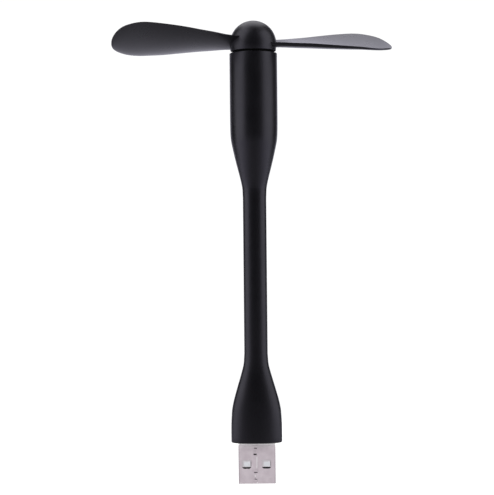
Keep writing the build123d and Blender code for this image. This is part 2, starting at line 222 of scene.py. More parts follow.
def soft_box(name, azimuth, elevation, distance, width, height, brightness):
    """An area lamp that looks at the fan."""
    turn, rise = math.radians(azimuth), math.radians(elevation)
    outward = Vector((math.sin(turn) * math.cos(rise), -math.cos(turn) * math.cos(rise), math.sin(rise)))
    lamp = bpy.data.lights.new(name, "AREA")
    lamp.shape = "RECTANGLE"
    lamp.size, lamp.size_y = width, height
    lamp.energy = brightness * math.pi * width * height
    holder = bpy.data.objects.new(name, lamp)
    bpy.context.scene.collection.objects.link(holder)
    holder.location = LIGHT_CENTRE + outward * distance
    holder.rotation_euler = outward.to_track_quat("Z", "Y").to_euler()
    return lamp.energy


for name, numbers in SOFT_BOXES.items():
    print(name, "W:", round(soft_box(name, *numbers), 2))

# %% [markdown]
# In use a socket holds the fan up, so the floor lies a little below the plug's tip. It is a pale disc.
# To the camera it adds its own white to what the lamps give it, which keeps the fan's soft shadow; a
# white floor with more light would wash out the fan instead. In mirrors it is white far behind the fan
# and far to its sides, and fades to plain grey paper near it and at the front, as under a lit backdrop.

# %% Floor
FLOOR_Z = -60 * MM
FLOOR_RADIUS = 0.60
FLOOR_SIDES = 96
FLOOR_PALE = (0.5, 0.5, 0.5)
FLOOR_MIRRORED = (0.15, 0.15, 0.15)
FLOOR_GLOW = 0.6
MIRRORED_GLOW = 0.82
GLOW_REACH = (0.04, 0.36)  # metres behind the fan where the mirrored glow starts, and where it is full
SIDE_REACH = 0.7  # how far a metre to the side counts as behind


def clear_selection():
    """Back to object mode with nothing selected."""
    if bpy.context.object and bpy.context.object.mode != "OBJECT":
        bpy.ops.object.mode_set(mode="OBJECT")
    bpy.ops.object.select_all(action="DESELECT")


clear_selection()
bpy.ops.mesh.primitive_circle_add(
    vertices=FLOOR_SIDES, radius=FLOOR_RADIUS, fill_type="NGON", location=(0, 0, FLOOR_Z))
floor = bpy.context.object
floor.name = "pale_floor"
pale = bpy.data.materials.new("pale_floor")
pale.use_nodes = True
tree = pale.node_tree
tree.nodes.clear()
rays = add_node(tree, "ShaderNodeLightPath").outputs
parts = split(tree, add_node(tree, "ShaderNodeTexCoord").outputs["Object"])
in_mirrors = mirror_rays(tree, rays)
sideways = math_node(tree, "MULTIPLY", math_node(tree, "ABSOLUTE", parts["X"]), SIDE_REACH)
reach = math_node(tree, "MAXIMUM", parts["Y"], sideways)
far = math_node(tree, "MULTIPLY", in_mirrors, stretch(tree, reach, GLOW_REACH, (0, MIRRORED_GLOW)))
seen = math_node(tree, "MULTIPLY", rays["Is Camera Ray"], FLOOR_GLOW)
seen_glow = add_node(tree, "ShaderNodeEmission", {"Strength": seen})
far_glow = add_node(tree, "ShaderNodeEmission", {"Strength": far}, Color=(*MIRROR_TINT, 1))
tone = mix_colours(tree, in_mirrors, FLOOR_PALE, FLOOR_MIRRORED)
paint = add_node(tree, "ShaderNodeBsdfDiffuse", {"Color": tone})
glow = add_node(tree, "ShaderNodeAddShader", {0: seen_glow.outputs[0], 1: far_glow.outputs[0]})
painted = add_node(tree, "ShaderNodeAddShader", {0: glow.outputs[0], 1: paint.outputs[0]})
add_node(tree, "ShaderNodeOutputMaterial", {"Surface": painted.outputs[0]})
floor.data.materials.append(pale)
print("floor:", FLOOR_Z, "m")

# %% [markdown]
# Most of this fan is drawn out along a line: the skin and the wires are rings, one above the other. By
# hand one fills a circle, extrudes it, and resizes and moves each new ring in turn. The filled circle
# stays a closed body however often its face is extruded.

# %% Rings
def reshape(old, new):
    """Turns the selected ring from one (height, half width, half depth, shift x, shift y) into another."""
    scale = (new[1] / old[1], new[2] / old[2], 1)
    bpy.ops.transform.resize(value=scale, center_override=(old[3], old[4], old[0]))
    bpy.ops.transform.translate(value=(new[3] - old[3], new[4] - old[4], new[0] - old[0]))


def loft(name, sides, rings):
    """A closed body through a list of rings, in millimetres; a ring's shifts may be left out."""
    clear_selection()
    bpy.ops.mesh.primitive_circle_add(vertices=sides, radius=1.0, fill_type="NGON")
    piece = bpy.context.object
    piece.name = name
    bpy.ops.object.mode_set(mode="EDIT")
    old = (0, 1, 1, 0, 0)
    for number, ring in enumerate(rings):
        new = [value * MM for value in ring] + [0] * (len(old) - len(ring))
        if number:
            bpy.ops.mesh.extrude_region_move()
        reshape(old, new)
        old = new
    bpy.ops.mesh.select_all(action="SELECT")
    bpy.ops.mesh.normals_make_consistent(inside=False)
    bpy.ops.object.mode_set(mode="OBJECT")
    return piece


# %% [markdown]
# Holes are cut with the Boolean modifier, applied at once, and the cutter is thrown away. Holes could
# also be bridged by hand, but a cutter is easier to place. Smooth shading by angle keeps the skin round
# and the cut edges crisp.

# %% Cutting and shading
SMOOTH_ANGLE = math.radians(35)


def make_active(piece):
    """Selects one piece alone and makes it the active one."""
    clear_selection()
    piece.select_set(True)
    bpy.context.view_layer.objects.active = piece


def combine(piece, other, operation):
    """Cuts another body out of a piece, or joins it to the piece, and removes the other body."""
    make_active(piece)
    cut = piece.modifiers.new("combine", "BOOLEAN")
    cut.operation = operation
    cut.solver = "EXACT"
    cut.object = other
    bpy.ops.object.modifier_apply(modifier=cut.name)
    bpy.data.objects.remove(other)


def shade(piece):
    """Smooth shading with crisp edges."""
    make_active(piece)
    bpy.ops.object.shade_smooth_by_angle(angle=SMOOTH_ANGLE)
    return piece


# %% [markdown]
# The skin is one silicone moulding: a flared grip, a slim neck and a round head. Its outline is a short
# list of heights, with a smooth curve through them. A curve with handles would do too, but this one
# needs none: each point's slope comes from its two neighbours.

# %% Outline of the skin
SKIN = [  # height, width, depth
    (0.5, 16.54, 8.6), (5.7, 16.5, 8.6), (8.3, 16.2, 8.55), (10.5, 15.9, 8.45), (12.0, 15.4, 8.35),
    (13.65, 14.7, 8.15), (16.9, 12.9, 7.4), (20.1, 11.0, 6.75), (23.4, 9.1, 6.15), (25.0, 8.3, 5.9),
    (26.6, 7.86, 5.78), (28.6, 7.61, 5.74), (79.2, 7.61, 5.74), (81.0, 7.7, 5.84), (82.4, 7.9, 6.07),
    (84.0, 8.44, 6.7), (86.0, 9.34, 7.85), (91.5, 12.15, 11.3), (95.6, 14.0, 13.6), (97.6, 14.8, 14.6),
    (99.4, 15.18, 15.12), (101.8, 15.36, 15.34), (106.0, 15.44, 15.44), (126.1, 15.44, 15.44),
]
SKIN_SIDES = 80


def slope(table, row, column):
    """How steeply one column rises at a row, from the rows before and after it."""
    before, after = table[max(row - 1, 0)], table[min(row + 1, len(table) - 1)]
    return (after[column] - before[column]) / (after[0] - before[0])


def smooth_curve(table, place):
    """The values at a place, on a smooth curve through a table's rows."""
    start = max(0, min(len(table) - 2, sum(row[0] <= place for row in table) - 1))
    step = table[start + 1][0] - table[start][0]
    t = (place - table[start][0]) / step
    values = []
    for column in range(1, len(table[0])):
        low, high = table[start][column], table[start + 1][column]
        rise = high - low
        leaving = slope(table, start, column) * step - rise
        arriving = slope(table, start + 1, column) * step - rise
        values.append(low + rise * t + t * (1 - t) * (leaving * (1 - t) - arriving * t))
    return values


def skin_ring(height):
    """One ring of the skin."""
    width, depth = smooth_curve(SKIN, height)
    return height, width / 2, depth / 2


def spread(low, high, count):
    """Evenly spaced values, both ends included."""
    return [low + (high - low) * number / count for number in range(count + 1)]


print("skin at the neck:", [round(value, 2) for value in skin_ring(50)])

# %% [markdown]
# The neck bends at sixteen hinges, which alternate between forwards and sideways. Each span of skin is
# as long as the distance between two hinges and is centred on one, so it takes half of the bend at each
# end. The grip ends where the first span starts, and the head starts where the last one ends. The
# hinges could be typed in, but the frame already knows them.

# %% Places of the spans
bends = [joint for joint in frame["joints"] if not joint.get("continuous")]
hinges = [joint["pos_m"][2] / MM for joint in bends]
SPAN = (hinges[-1] - hinges[0]) / (len(hinges) - 1)
GRIP_TOP = hinges[0] - SPAN / 2
HEAD_LOW = hinges[-1] + SPAN / 2
print("spans:", len(hinges), "of", round(SPAN, 3), "mm")
print("from", round(GRIP_TOP, 2), "to", round(HEAD_LOW, 2), "mm")

# %% [markdown]
# Two soft copper wires run up through the skin, carry the current and hold the neck's bend. Their bores
# go through the grip, every span and the head. One long cutter could do them all before the skin is cut
# into spans, but short ones, made for each piece, leave every piece closed.

# %% Bores for the wires
WIRE_X = 1.7
WIRE_SIDES = 20
BORE_RADIUS = 0.65
CUT_MARGIN = 0.5  # how far a round cutter stands out of the piece


def bore_wires(piece, low, high):
    """Cuts the two bores for the wires through a piece of skin, from one height to another."""
    heights = (low - CUT_MARGIN, high + CUT_MARGIN)
    for side in (-1, 1):
        rings = [(height, BORE_RADIUS, BORE_RADIUS, side * WIRE_X) for height in heights]
        combine(piece, loft("bore", WIRE_SIDES, rings), "DIFFERENCE")


# %% [markdown]
# The plug and its holes are boxes with rounded edges. By hand one adds a cube, stretches it, picks the
# edges that run along one axis and bevels them. A Bevel modifier would need weights to leave the other
# edges alone, so the edges are picked in code.

# %% Boxes with rounded edges
CORNER_STEPS = 6
ALONG = 0.9  # least share of an edge's length that lies along its axis


def bevel_edges(piece, offset, steps, test):
    """Bevels the edges of a piece that pass a test, in millimetres."""
    make_active(piece)
    bpy.ops.object.mode_set(mode="EDIT")
    bpy.ops.mesh.select_all(action="DESELECT")
    bpy.ops.mesh.select_mode(type="EDGE")
    mesh = bmesh.from_edit_mesh(piece.data)
    for edge in mesh.edges:
        edge.select_set(test(edge))
    bmesh.update_edit_mesh(piece.data)
    bpy.ops.mesh.bevel(offset=offset * MM, segments=steps, affect="EDGES")
    bpy.ops.mesh.select_mode(type="VERT")
    bpy.ops.object.mode_set(mode="OBJECT")


def runs_along(edge, axis):
    """True for an edge that lies along one axis: 0 is X, 1 is Y, 2 is Z."""
    line = edge.verts[0].co - edge.verts[1].co
    return abs(line[axis]) > ALONG * line.length


def box_between(name, low, high):
    """A plain box between two corners, in millimetres."""
    clear_selection()
    bpy.ops.mesh.primitive_cube_add(size=MM, location=[(a + b) / 2 * MM for a, b in zip(low, high)])
    box = bpy.context.object
    box.name = name
    box.scale = [b - a for a, b in zip(low, high)]
    bpy.ops.object.transform_apply(location=True, rotation=True, scale=True)
    return box


def upright_box(name, width, depth, corner, low, high):
    """A box on the fan's axis with rounded upright edges, in millimetres."""
    box = box_between(name, (-width / 2, -depth / 2, low), (width / 2, depth / 2, high))
    bevel_edges(box, corner, CORNER_STEPS, lambda edge: runs_along(edge, 2))
    return box


# %% [markdown]
# The grip is the flared lower end, where a finger and thumb hold the fan. A bevel would round its
# bottom edge, but a quarter circle of rings fits the way that the rest is made. The mouth fits the
# plug's steel shell and, behind it, a hollow holds the hard core, so both are cut out.

# %% Grip
RIM_ROUNDING = 0.5
RIM_STEPS = 6
GRIP_STRAIGHT_TOP = 9.0
STRAIGHT_RINGS = 6
FLARE_RINGS = 34
MOUTH = (12.1, 4.6, 0.4)  # width, depth, corner
MOUTH_HEIGHT = (-1.0, 1.0)
CORE_HOLLOW = (13.64, 6.04, 3.0)
CORE_HOLLOW_HEIGHT = (0.98, 13.02)


def rounded_end(height, half_width, half_depth, rounding, rise, steps):
    """A quarter circle of rings from an end face's inner edge out to its side; rise is 1 at the bottom."""
    rings = []
    for number in range(steps):
        angle = number / steps * math.pi / 2
        inset = rounding * (1 - math.sin(angle))
        level = height - rise * rounding * math.cos(angle)
        rings.append((level, half_width - inset, half_depth - inset))
    return rings


rings = rounded_end(*skin_ring(RIM_ROUNDING), RIM_ROUNDING, 1, RIM_STEPS)
rings += [skin_ring(height) for height in spread(RIM_ROUNDING, GRIP_STRAIGHT_TOP, STRAIGHT_RINGS)]
rings += [skin_ring(height) for height in spread(GRIP_STRAIGHT_TOP, GRIP_TOP, FLARE_RINGS)[1:]]
grip = loft("grip_skin", SKIN_SIDES, rings)
combine(grip, upright_box("mouth", *MOUTH, *MOUTH_HEIGHT), "DIFFERENCE")
combine(grip, upright_box("hollow", *CORE_HOLLOW, *CORE_HOLLOW_HEIGHT), "DIFFERENCE")
bore_wires(grip, CORE_HOLLOW_HEIGHT[1], GRIP_TOP)
shade(grip)
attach(grip, "base")
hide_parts("base_sleeve")
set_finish(grip, "silicone")
print("grip faces:", len(grip.data.polygons))

# %% [markdown]
# The spans between are all alike except the first and the last, which take up the ends of the flare and
# the head's cone. Many rings would bulge out at the hinge, where nothing moves, and the bent neck would
# look knobbly. So a span has only four: two at each end, with one straight stretch between. That cuts
# each corner, and smooth shading rounds it. Bored ends are closed faces, hidden where two spans
# meet.

# %% Neck
STIFF_END = 0.1 * SPAN


def span_heights(number):
    """The heights of the four rings of one span."""
    low, high = hinges[number] - SPAN / 2, hinges[number] + SPAN / 2
    return low, low + STIFF_END, high - STIFF_END, high


def neck_span(number):
    """The closed span of skin that is centred on one hinge."""
    heights = span_heights(number)
    piece = loft("neck_span", SKIN_SIDES, [skin_ring(height) for height in heights])
    bore_wires(piece, heights[0], heights[-1])
    return shade(piece)


def copy_of(piece, name):
    """A copy with a mesh of its own."""
    twin = piece.copy()
    twin.data = piece.data.copy()
    twin.name = name
    bpy.context.scene.collection.objects.link(twin)
    return twin


def across_hinge(piece):
    """Bakes a piece's placing into its mesh."""
    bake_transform(piece)


last = len(hinges) - 1
spans = {0: neck_span(0), 1: neck_span(1), last: neck_span(last)}
for number in range(2, last):
    spans[number] = copy_of(spans[1], "neck_span")
    spans[number].data.transform(Matrix.Translation((0, 0, (hinges[number] - hinges[1]) * MM)))
for number, joint in enumerate(bends):
    piece = spans[number]
    piece.name = f"neck_skin_{number + 1:02d}"
    across_hinge(piece)
    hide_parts(*frame["record"]["behaviour"]["bodies"][joint["child"]][:1])
    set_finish(piece, "silicone")
print("span faces:", len(spans[1].data.polygons))

# %% [markdown]
# The head is the round upper end, a cup for the motor. A soft cone leads into it, and its rim is barely
# rounded, so that the gap under the hub stays a sharp dark line. The cup and the room for the wires
# below it could be lofted with the rest, but plain round cutters keep the outline simple.

# %% Head
HEAD_TOP = 126.25
HEAD_EDGE = 0.18
HEAD_EDGE_STEPS = 4
CONE_TOP = 104.0
CONE_RINGS = 40
TUBE_RINGS = 6
CUP = (6.42, 103.68, HEAD_TOP)  # radius, low end, high end
WIRE_ROOM = (5.2, 96.5, CUP[1])

head_side = skin_ring(HEAD_TOP - HEAD_EDGE)
rings = [skin_ring(height) for height in spread(HEAD_LOW, CONE_TOP, CONE_RINGS)]
rings += [skin_ring(height) for height in spread(CONE_TOP, head_side[0], TUBE_RINGS)[1:]]
rings += reversed(rounded_end(*head_side, HEAD_EDGE, -1, HEAD_EDGE_STEPS))
head = loft("head_skin", SKIN_SIDES, rings)
for radius, low, high in (CUP, WIRE_ROOM):
    cutter = loft("cup", SKIN_SIDES, [(height, radius, radius) for height in (low, high + CUT_MARGIN)])
    combine(head, cutter, "DIFFERENCE")
bore_wires(head, HEAD_LOW, WIRE_ROOM[1])
shade(head)
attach(head, "head")
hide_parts("head_sleeve")
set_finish(head, "silicone")
print("head faces:", len(head.data.polygons))

# %% [markdown]
# The copper wires have to bend with the neck, so they are cut at the same places as the skin. A curve
# with a round bevel would make them too, but rings give them the same four places in a span as the skin
# has. Each end of a wire is led sideways, to its contact in the plug and to its brush in the motor,
# through slanting rings.

# %% Wires
WIRE_RADIUS = 0.6
TAIL_PLACE = (3.5, 1.0)
LEG_PLACE = (3.7, 0.95)
TAIL_HEIGHTS = (5.6, 8.4, 9.2, 11.4, 12.2)
LEG_HEIGHTS = (97.6, 98.4, 100.8, 101.6, 104.0)
LEAD_IN = (0.0, 0.1, 0.9, 1.0)


def wire_pair(name, path_of):
    """Two wires as one piece; a path is a list of (height, x, y) for the side at -1 or 1."""
    pair = []
    for side in (-1, 1):
        rings = [(height, WIRE_RADIUS, WIRE_RADIUS, x, y) for height, x, y in path_of(side)]
        pair.append(loft(name, WIRE_SIDES, rings))
    clear_selection()
    for wire in pair:
        wire.select_set(True)
    bpy.context.view_layer.objects.active = pair[0]
    bpy.ops.object.join()
    return shade(pair[0])


def tail_path(side):
    """From the contact's tail up into the neck."""
    path = [(TAIL_HEIGHTS[0], side * TAIL_PLACE[0], TAIL_PLACE[1])]
    for height, share in zip(TAIL_HEIGHTS[1:], LEAD_IN):
        x = TAIL_PLACE[0] + (WIRE_X - TAIL_PLACE[0]) * share
        path.append((height, side * x, TAIL_PLACE[1] * (1 - share)))
    return path + [(GRIP_TOP, side * WIRE_X, 0)]


def leg_path(side):
    """From the neck up to the brush's leg."""
    path = [(HEAD_LOW, side * WIRE_X, 0)]
    for height, share in zip(LEG_HEIGHTS, LEAD_IN):
        x = WIRE_X + (LEG_PLACE[0] - WIRE_X) * share
        path.append((height, side * x, -side * LEG_PLACE[1] * share))
    return path + [(LEG_HEIGHTS[-1], side * LEG_PLACE[0], -side * LEG_PLACE[1])]


def span_path(side):
    """Straight through the first span."""
    return [(height, side * WIRE_X, 0) for height in span_heights(0)]


tail = wire_pair("wire_tail", tail_path)
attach(tail, "base")
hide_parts("core_wire_positive", "core_wire_negative")
legs = wire_pair("wire_legs", leg_path)
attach(legs, "head")
span_wires = [wire_pair("neck_wires_01", span_path)]
for number in range(1, len(hinges)):
    twin = copy_of(span_wires[0], f"neck_wires_{number + 1:02d}")
    twin.data.transform(Matrix.Translation((0, 0, number * SPAN * MM)))
    span_wires.append(twin)
for number, piece in enumerate(span_wires):
    across_hinge(piece)
for piece in (tail, legs, *span_wires):
    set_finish(piece, "copper")
print("wire pieces:", len(span_wires) + 2)

# %% [markdown]
# The propeller is one soft moulding. Its hub is turned: a profile is drawn point by point from the bore
# out to the rim and up over the dome, and spun about the axis. A ball could be cut in half instead, but
# a profile gives the bore, the recess and the small edge at once. Spinning leaves doubled points along
# the axis and the seam, so these are merged before the normals are made to point outwards.

# %% Hub
HUB_LOW = 127.0
HUB_RADIUS = 7.4
HUB_EDGE = 0.22
EDGE_MIDDLE = 0.3 * HUB_EDGE  # how far the rounded edge's middle point lies in from the corner
DOME_RADIUS = 7.55
DOME_Z = 129.35
DOME_STEPS = 24
HUB_BORE = (1.81, 133.25)  # radius, top
HUB_RECESS = (3.2, 6.5, 1.0)  # inner radius, outer radius, depth
SPIN_STEPS = 96
MERGE_DISTANCE = 1e-6


def draw_profile(name, points):
    """A line through (radius, height) points, extruded from a single point."""
    clear_selection()
    bpy.ops.mesh.primitive_plane_add(size=MM)
    piece = bpy.context.object
    piece.name = name
    bpy.ops.object.mode_set(mode="EDIT")
    bpy.ops.mesh.merge(type="CENTER")
    old = Vector((0, 0, 0))
    for number, (radius, height) in enumerate(points):
        new = Vector((radius * MM, 0, height * MM))
        if number:
            bpy.ops.mesh.extrude_region_move(TRANSFORM_OT_translate={"value": new - old})
        else:
            bpy.ops.transform.translate(value=new)
        old = new
    return piece


def spin_profile():
    """Spins the line that is being edited about the fan's axis into a closed body."""
    bpy.ops.mesh.select_all(action="SELECT")
    bpy.ops.mesh.spin(steps=SPIN_STEPS, angle=2 * math.pi, center=(0, 0, 0), axis=(0, 0, 1))
    bpy.ops.mesh.select_all(action="SELECT")
    bpy.ops.mesh.remove_doubles(threshold=MERGE_DISTANCE)
    bpy.ops.mesh.normals_make_consistent(inside=False)
    bpy.ops.object.mode_set(mode="OBJECT")


bore, bore_top = HUB_BORE
inner, outer, recess = HUB_RECESS
profile = [
    (0, bore_top), (bore, bore_top), (bore, HUB_LOW),
    (inner, HUB_LOW), (inner, HUB_LOW + recess), (outer, HUB_LOW + recess), (outer, HUB_LOW),
    (HUB_RADIUS - HUB_EDGE, HUB_LOW), (HUB_RADIUS - EDGE_MIDDLE, HUB_LOW + EDGE_MIDDLE),
    (HUB_RADIUS, HUB_LOW + HUB_EDGE),
]
profile += [(DOME_RADIUS * math.cos(angle), DOME_Z + DOME_RADIUS * math.sin(angle))
            for angle in spread(0, math.pi / 2, DOME_STEPS)]
propeller = draw_profile("propeller_moulding", profile)
spin_profile()
print("hub faces:", len(propeller.data.polygons))

# %% [markdown]
# A blade is a paddle: it widens to three quarters of its length and ends in half an ellipse. Its width,
# place and pitch change along it, so they are a short table with a smooth curve through it, as for the
# skin. The rows stand closer together towards the tip, where the outline turns.

# %% Outline of a blade
BLADE = [  # radius, chord, lead of the middle, height, pitch in degrees, belly
    (4.5, 10.9, -0.2, 130.2, 10.6, 1.45),
    (9.0, 12.2, 0.0, 130.3, 11.5, 1.45),
    (13.0, 14.9, 0.4, 130.4, 12.4, 1.55),
    (18.0, 17.6, 0.6, 130.55, 13.5, 1.65),
    (23.0, 20.1, 0.6, 130.65, 15.2, 1.65),
    (29.0, 22.4, 0.2, 130.7, 17.0, 1.5),
    (35.0, 23.4, 0.4, 130.7, 18.55, 1.15),
    (40.0, 23.2, 1.1, 130.4, 19.6, 0.85),
    (43.5, 23.4, 1.6, 130.05, 19.9, 0.8),
    (46.0, 23.4, 1.6, 129.35, 19.8, 0.7),
]
WIDEST = 35.0
TIP_LENGTH = 11.0
TIP_FULLNESS = 2.12  # 2 is an ellipse, and more is squarer
TIP_ANGLE = math.radians(87)
TIP_ROWS = 16
PADDLE_ROWS = 30


def blade_row(radius):
    """Chord, lead, height, pitch and belly of a row; past the widest place chord and belly shrink."""
    chord, lead, height, pitch, belly = smooth_curve(BLADE, radius)
    past = max(0, radius - WIDEST) / TIP_LENGTH
    narrowing = (1 - past ** TIP_FULLNESS) ** (1 / TIP_FULLNESS)
    return chord * narrowing, lead, height, math.radians(pitch), belly * narrowing


radii = spread(BLADE[0][0], WIDEST, PADDLE_ROWS)
radii += [WIDEST + TIP_LENGTH * math.sin(angle) for angle in spread(0, TIP_ANGLE, TIP_ROWS)[1:]]
print("blade rows:", len(radii), "out to", round(radii[-1], 2), "mm")

# %% [markdown]
# The upper face of a blade is almost flat. It starts as a flat grid. The lines along it are drawn
# towards the low edge, where the section is rounder, and lifted a little towards both edges. Then each
# row across it is resized to its chord, pitched and moved to its place, as one would do by hand, row
# after row.

# %% Upper face of a blade
BLADE_LINES = 22
BLADE_CURL = 0.035  # lift of the edges, as a share of the chord


def pick(points):
    """Selects points of the mesh that is being edited by their numbers."""
    bpy.ops.mesh.select_all(action="DESELECT")
    mesh = bmesh.from_edit_mesh(bpy.context.object.data)
    mesh.verts.ensure_lookup_table()
    for number in points:
        mesh.verts[number].select_set(True)
    bmesh.update_edit_mesh(bpy.context.object.data)


shares = [share ** 2 for share in spread(0, 1, BLADE_LINES)]
clear_selection()
bpy.ops.mesh.primitive_grid_add(x_subdivisions=len(radii) - 1, y_subdivisions=BLADE_LINES, size=1)
blade = bpy.context.object
rows = [[] for radius in radii]
lines = [[] for share in shares]
for point in blade.data.vertices:
    rows[round((point.co.x + 0.5) * (len(radii) - 1))].append(point.index)
    lines[round((point.co.y + 0.5) * BLADE_LINES)].append(point.index)
bpy.ops.object.mode_set(mode="EDIT")
for number, (line, share) in enumerate(zip(lines, shares)):
    pick(line)
    lift = BLADE_CURL * (share - 0.5) ** 2
    bpy.ops.transform.translate(value=(0, share - number / BLADE_LINES, lift))
for number, (row, radius) in enumerate(zip(rows, radii)):
    chord, lead, height, pitch, belly = blade_row(radius)
    pick(row)
    start = number / (len(radii) - 1) - 0.5
    bpy.ops.transform.resize(value=(1, chord * MM, chord * MM), center_override=(start, 0, 0))
    bpy.ops.transform.rotate(value=-pitch, orient_axis="X", center_override=(start, 0, 0))
    bpy.ops.transform.translate(value=(radius * MM - start, lead * MM, height * MM))
bpy.ops.object.mode_set(mode="OBJECT")
print("blade points:", len(blade.data.vertices))

# %% [markdown]
# The underside swells like a wing's, blunt at the low edge and thin at the high one. It could be a
# second grid sewn to the first. The Solidify modifier is simpler: its thickness follows the weights of
# a vertex group, and the weights come from a formula that rises fast from the low edge and falls slowly
# to the high one.

# %% Belly of a blade
BLADE_EDGES = (0.44, 0.26)  # thickness at the low edge and at the high edge
SWELL_PEAK = 2.6  # brings the highest value of the swelling formula to 1

thickest = BLADE_EDGES[0] + max(row[-1] for row in BLADE)
share_of = {point: share for line, share in zip(lines, shares) for point in line}
weights = blade.vertex_groups.new(name="thickness")
for row, radius in zip(rows, radii):
    belly = blade_row(radius)[-1]
    for point in row:
        share = share_of[point]
        swell = belly * SWELL_PEAK * math.sqrt(share) * (1 - share)
        plain = BLADE_EDGES[0] + (BLADE_EDGES[1] - BLADE_EDGES[0]) * share
        weights.add([point], (plain + swell) / thickest, "REPLACE")
make_active(blade)
wall = blade.modifiers.new("wall", "SOLIDIFY")
wall.thickness = thickest * MM
wall.offset = -1
wall.vertex_group = weights.name
bpy.ops.object.modifier_apply(modifier=wall.name)
print("blade faces:", len(blade.data.polygons))

# %% [markdown]
# The second blade is a copy turned half a turn. Both are joined to the hub into one closed moulding,
# because blades that only stand in the hub would leave walls inside it. The propeller is then turned to
# the angle at which it stands in the photo.

# %% Propeller
REST_TURN = math.radians(7.1)

other_blade = copy_of(blade, "other_blade")
other_blade.data.transform(Matrix.Rotation(math.pi, 4, "Z"))
combine(propeller, blade, "UNION")
combine(propeller, other_blade, "UNION")
propeller.rotation_euler = (0, 0, REST_TURN)
make_active(propeller)
bpy.ops.object.transform_apply(rotation=True)
shade(propeller)
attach(propeller, "rotor")
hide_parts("propeller")
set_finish(propeller, "soft_plastic")
print("propeller faces:", len(propeller.data.polygons))

# %% [markdown]
# The plug's shell is a strip of steel folded into a tube. One could bend a strip, but a box with
# bevelled edges and no ends gives the same tube, and Solidify gives it a wall of even thickness. The
# edges at the tip are broken by a small bevel, as a punch leaves them.

# %% Plug shell
SHELL = (12.0, 4.5, 0.36)  # width, depth, corner
SHELL_TIP = -13.1
SHELL_REAR = 5.0
SHELL_WALL = 0.3
TIP_BEVEL = 0.1
TIP_BEVEL_STEPS = 3
SHARP = 1.0  # least angle of a sharp edge, in radians
FACES_END = 0.5  # least upright part of an end face's normal
TINY = 0.01  # millimetres, for places that are all but the same


def edge_of_tip(edge):
    """True for the shell's sharp edges at the plug's tip."""
    at_tip = all(point.co.z < (SHELL_TIP + TINY) * MM for point in edge.verts)
    return at_tip and edge.calc_face_angle(0) > SHARP


shell = upright_box("plug_shell", *SHELL, SHELL_TIP, SHELL_REAR)
make_active(shell)
bpy.ops.object.mode_set(mode="EDIT")
bpy.ops.mesh.select_mode(type="FACE")
mesh = bmesh.from_edit_mesh(shell.data)
for face in mesh.faces:
    face.select_set(abs(face.normal.z) > FACES_END)
bmesh.update_edit_mesh(shell.data)
bpy.ops.mesh.delete(type="FACE")
bpy.ops.mesh.select_mode(type="VERT")
bpy.ops.object.mode_set(mode="OBJECT")
wall = shell.modifiers.new("wall", "SOLIDIFY")
wall.thickness = SHELL_WALL * MM
wall.use_even_offset = True
bpy.ops.object.modifier_apply(modifier=wall.name)
bevel_edges(shell, TIP_BEVEL, TIP_BEVEL_STEPS, edge_of_tip)
print("tube faces:", len(shell.data.polygons))

# %% [markdown]
# Both wide sides of the shell have two windows, rounder at the bottom than at the top, for the springs
# of a socket. The strip's two edges meet at the front in a stepped seam, where fingers of one edge lock
# into the other and leave small notches. The seam could be a painted line, but a real cut catches the
# light, so windows, seam and notches are all cut.

# %% Windows and seam
WINDOWS_X = (-3.35, 3.05)
WINDOW_WIDTH = 2.95
WINDOW_HEIGHT = (-8.25, -5.42)
WINDOW_CORNERS = (0.25, 0.75)  # top, bottom
WINDOW_STEPS = 5
SEAM_RUNS = (  # low end, high end, place across
    (-13.1, -11.6, 0.0), (-11.6, -9.4, -0.62), (-9.4, -3.6, 0.0), (-3.6, -1.7, -0.62), (-1.7, 5.0, 0.0),
)
SEAM_WIDTH = 0.06
NOTCH_DEPTH = -0.7
NOTCHES = (  # left, right, middle height, size upwards
    (-0.87, 0.03, -1.65, 0.28), (-1.12, -0.1, -3.6, 0.5),
    (-1.0, 0.13, -9.43, 0.28), (-0.87, -0.1, -11.63, 0.22),
)
CUT_FRONT, CUT_BACK = -4.0, 4.0  # in front of the plug and behind it
AT_END = 0.9  # least share of a window's half height at which its upper or lower edges lie


def window_box(name, x, width, low, high, front, back, corners):
    """A box with rounded corners as seen from the front: the radius at the top and at the bottom."""
    box = box_between(name, (x - width / 2, front, low), (x + width / 2, back, high))
    middle, reach = (low + high) / 2 * MM, AT_END * (high - low) / 2 * MM
    for side, radius in zip((1, -1), corners):
        bevel_edges(box, radius, WINDOW_STEPS, lambda edge: runs_along(edge, 1) and all(
            (point.co.z - middle) * side > reach for point in edge.verts))
    return box


def notch_box(left, right, middle, size):
    """A cutter for one notch of the seam, deep enough to look black."""
    low, high = middle - size / 2, middle + size / 2
    return box_between("notch", (left, CUT_FRONT, low), (right, NOTCH_DEPTH, high))


for x in WINDOWS_X:
    cutter = window_box("window", x, WINDOW_WIDTH, *WINDOW_HEIGHT, CUT_FRONT, CUT_BACK, WINDOW_CORNERS)
    combine(shell, cutter, "DIFFERENCE")
for low, high, x in SEAM_RUNS:
    left, right = x - SEAM_WIDTH / 2, x + SEAM_WIDTH / 2
    run = box_between("seam", (left, CUT_FRONT, low - TINY), (right, 0, high + TINY))
    combine(shell, run, "DIFFERENCE")
for notch in NOTCHES:
    combine(shell, notch_box(*notch), "DIFFERENCE")
shade(shell)
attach(shell, "base")
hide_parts("usb_shell")
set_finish(shell, "plug_steel")
print("shell faces:", len(shell.data.polygons))

# %% [markdown]
# The white tongue inside the plug shows through the windows: a pad swells into each of the front ones,
# and below it a dark crescent is left, the slot that a socket's spring snaps into. The tongue could be
# modelled again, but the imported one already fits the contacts. So it is a copy, with its loose
# triangles merged, and the pads are joined to it and the slots and the seam's notches cut into it.

